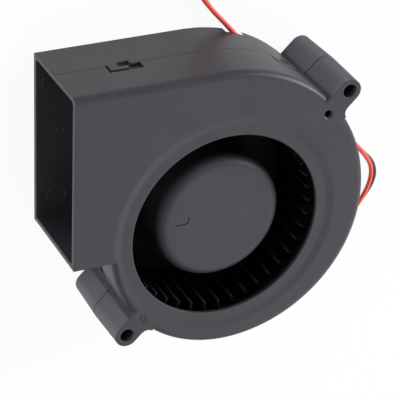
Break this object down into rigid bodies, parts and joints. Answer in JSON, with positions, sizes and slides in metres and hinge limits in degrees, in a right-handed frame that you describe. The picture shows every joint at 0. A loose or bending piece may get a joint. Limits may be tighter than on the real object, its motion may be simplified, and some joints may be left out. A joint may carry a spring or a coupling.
{
  "type": "dc blower fan",
  "caption": "Radial blower in a split spiral plastic casing with a round air inlet, a rectangular side outlet, diagonal mounting ears, a hub-motor impeller and loose wire leads.",
  "frame": {"origin": "rotor axis at the back face, which is the face the fan rests or is mounted on", "axes": "+Z along the rotor axis out of the air inlet, -X out of the outlet duct, +Y towards the flat long side of the duct"},
  "size_m": [0.1213, 0.1266, 0.033],
  "materials": {
    "housing_plastic": "dark grey satin moulded plastic",
    "impeller_plastic": "dark grey satin moulded plastic",
    "brass_tube": "turned brass",
    "bearing_steel": "ground bearing steel",
    "cage_brass": "pressed brass",
    "nylon": "natural nylon",
    "lamination_steel": "stacked electrical sheet",
    "cup_steel": "zinc plated deep-drawn steel",
    "magnet": "bonded ferrite",
    "copper_wire": "enamelled copper wire",
    "tinned_metal": "tinned copper and solder",
    "board_laminate": "green solder mask",
    "component_black": "moulded epoxy",
    "component_tan": "ceramic",
    "red_insulation": "red PVC insulation",
    "black_insulation": "black PVC insulation"
  },
  "bodies": {
    "housing": {"back_casing": "housing_plastic", "front_cover": "housing_plastic", "tube_plug": "housing_plastic", "bearing_tube": "brass_tube", "stator_core": "lamination_steel", "lower_insulator": "nylon", "upper_insulator": "nylon", "coil_1": "copper_wire", "coil_2": "copper_wire", "coil_3": "copper_wire", "coil_4": "copper_wire", "coil_pin_1": "tinned_metal", "coil_pin_2": "tinned_metal", "coil_pin_3": "tinned_metal", "circuit_board": "board_laminate", "hall_sensor": "component_black", "driver_chip": "component_black", "capacitor": "component_tan", "resistor": "component_black", "diode": "component_black", "red_solder": "tinned_metal", "black_solder": "tinned_metal", "rear_outer_race": "bearing_steel", "rear_shield": "bearing_steel", "front_outer_race": "bearing_steel", "front_shield": "bearing_steel", "red_lead": "red_insulation", "black_lead": "black_insulation", "red_lead_coil": "red_insulation", "black_lead_coil": "black_insulation", "coil_tie": "black_insulation", "red_tip": "tinned_metal", "black_tip": "tinned_metal"},
    "rotor": {"shaft": "bearing_steel", "retaining_clip": "bearing_steel", "thrust_washer": "nylon", "spring_washer": "bearing_steel", "rotor_cup": "cup_steel", "magnet_ring": "magnet", "impeller": "impeller_plastic", "rear_inner_race": "bearing_steel", "front_inner_race": "bearing_steel"},
    "rear_ball_set": {"rear_balls": "bearing_steel", "rear_cage": "cage_brass"},
    "front_ball_set": {"front_balls": "bearing_steel", "front_cage": "cage_brass"}
  },
  "joints": [
    {"name": "rotor_spin", "type": "hinge", "parent": "housing", "child": "rotor", "pos_m": [0, 0, 0.0152], "axis": [0, 0, 1], "continuous": true},
    {"name": "rear_balls_roll", "type": "hinge", "parent": "housing", "child": "rear_ball_set", "pos_m": [0, 0, 0.0052], "axis": [0, 0, 1], "continuous": true},
    {"name": "front_balls_roll", "type": "hinge", "parent": "housing", "child": "front_ball_set", "pos_m": [0, 0, 0.0184], "axis": [0, 0, 1], "continuous": true}
  ],
  "couplings": [
    {"joint": "rear_balls_roll", "follows": "rotor_spin", "ratio": 0.3709},
    {"joint": "front_balls_roll", "follows": "rotor_spin", "ratio": 0.3709}
  ]
}
